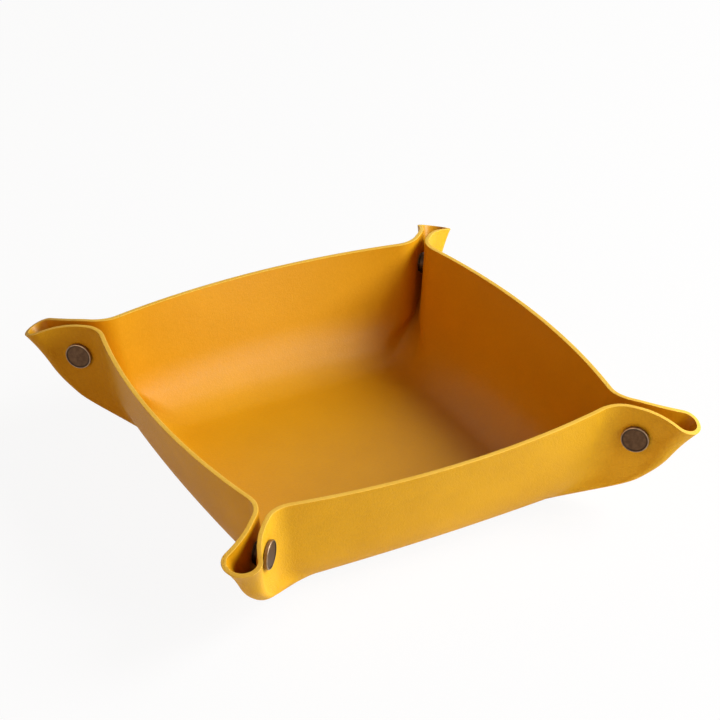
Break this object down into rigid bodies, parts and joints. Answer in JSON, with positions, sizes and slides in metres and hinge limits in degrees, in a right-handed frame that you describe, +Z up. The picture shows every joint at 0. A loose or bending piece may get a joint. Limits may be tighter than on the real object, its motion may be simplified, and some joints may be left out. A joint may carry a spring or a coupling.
{
  "type": "valet tray",
  "caption": "Soft square valet tray folded from one leather sheet, with corners pinched into open spouts by press studs",
  "frame": {"origin": "centre of the flat base, on its underside, at the height of the table", "axes": "+Z up; the front wall, which carries two caps, faces -Y; the tips of the spouts lie on the diagonals of X and Y"},
  "size_m": [0.2294, 0.2294, 0.055],
  "materials": {
    "leather": "smooth mustard-yellow leather, satin inside, finely grained outside, pale cut edges",
    "antique_bronze": "dark antique bronze, worn bright at the rims",
    "spring_steel": "bright drawn wire"
  },
  "bodies": {
    "sheet": {"leather_sheet": "leather", "front_left_stud": "antique_bronze", "front_left_post": "antique_bronze", "front_right_stud": "antique_bronze", "front_right_post": "antique_bronze", "back_right_stud": "antique_bronze", "back_right_post": "antique_bronze", "back_left_stud": "antique_bronze", "back_left_post": "antique_bronze"},
    "front_left_cap_half": {"front_left_cap": "antique_bronze", "front_left_socket": "antique_bronze", "front_left_spring": "spring_steel"},
    "front_right_cap_half": {"front_right_cap": "antique_bronze", "front_right_socket": "antique_bronze", "front_right_spring": "spring_steel"},
    "back_right_cap_half": {"back_right_cap": "antique_bronze", "back_right_socket": "antique_bronze", "back_right_spring": "spring_steel"},
    "back_left_cap_half": {"back_left_cap": "antique_bronze", "back_left_socket": "antique_bronze", "back_left_spring": "spring_steel"}
  },
  "joints": [
    {"name": "front_left_snap", "type": "slide", "parent": "sheet", "child": "front_left_cap_half", "axis": [0.7071, -0.7071, 0], "range_m": [0, 0.0023], "deforming": ["leather_sheet", "front_left_spring"]},
    {"name": "front_right_snap", "type": "slide", "parent": "sheet", "child": "front_right_cap_half", "axis": [-0.7071, -0.7071, 0], "range_m": [0, 0.0023], "deforming": ["leather_sheet", "front_right_spring"]},
    {"name": "back_right_snap", "type": "slide", "parent": "sheet", "child": "back_right_cap_half", "axis": [0.7071, -0.7071, 0], "range_m": [0, 0.0023], "deforming": ["leather_sheet", "back_right_spring"]},
    {"name": "back_left_snap", "type": "slide", "parent": "sheet", "child": "back_left_cap_half", "axis": [-0.7071, -0.7071, 0], "range_m": [0, 0.0023], "deforming": ["leather_sheet", "back_left_spring"]}
  ]
}
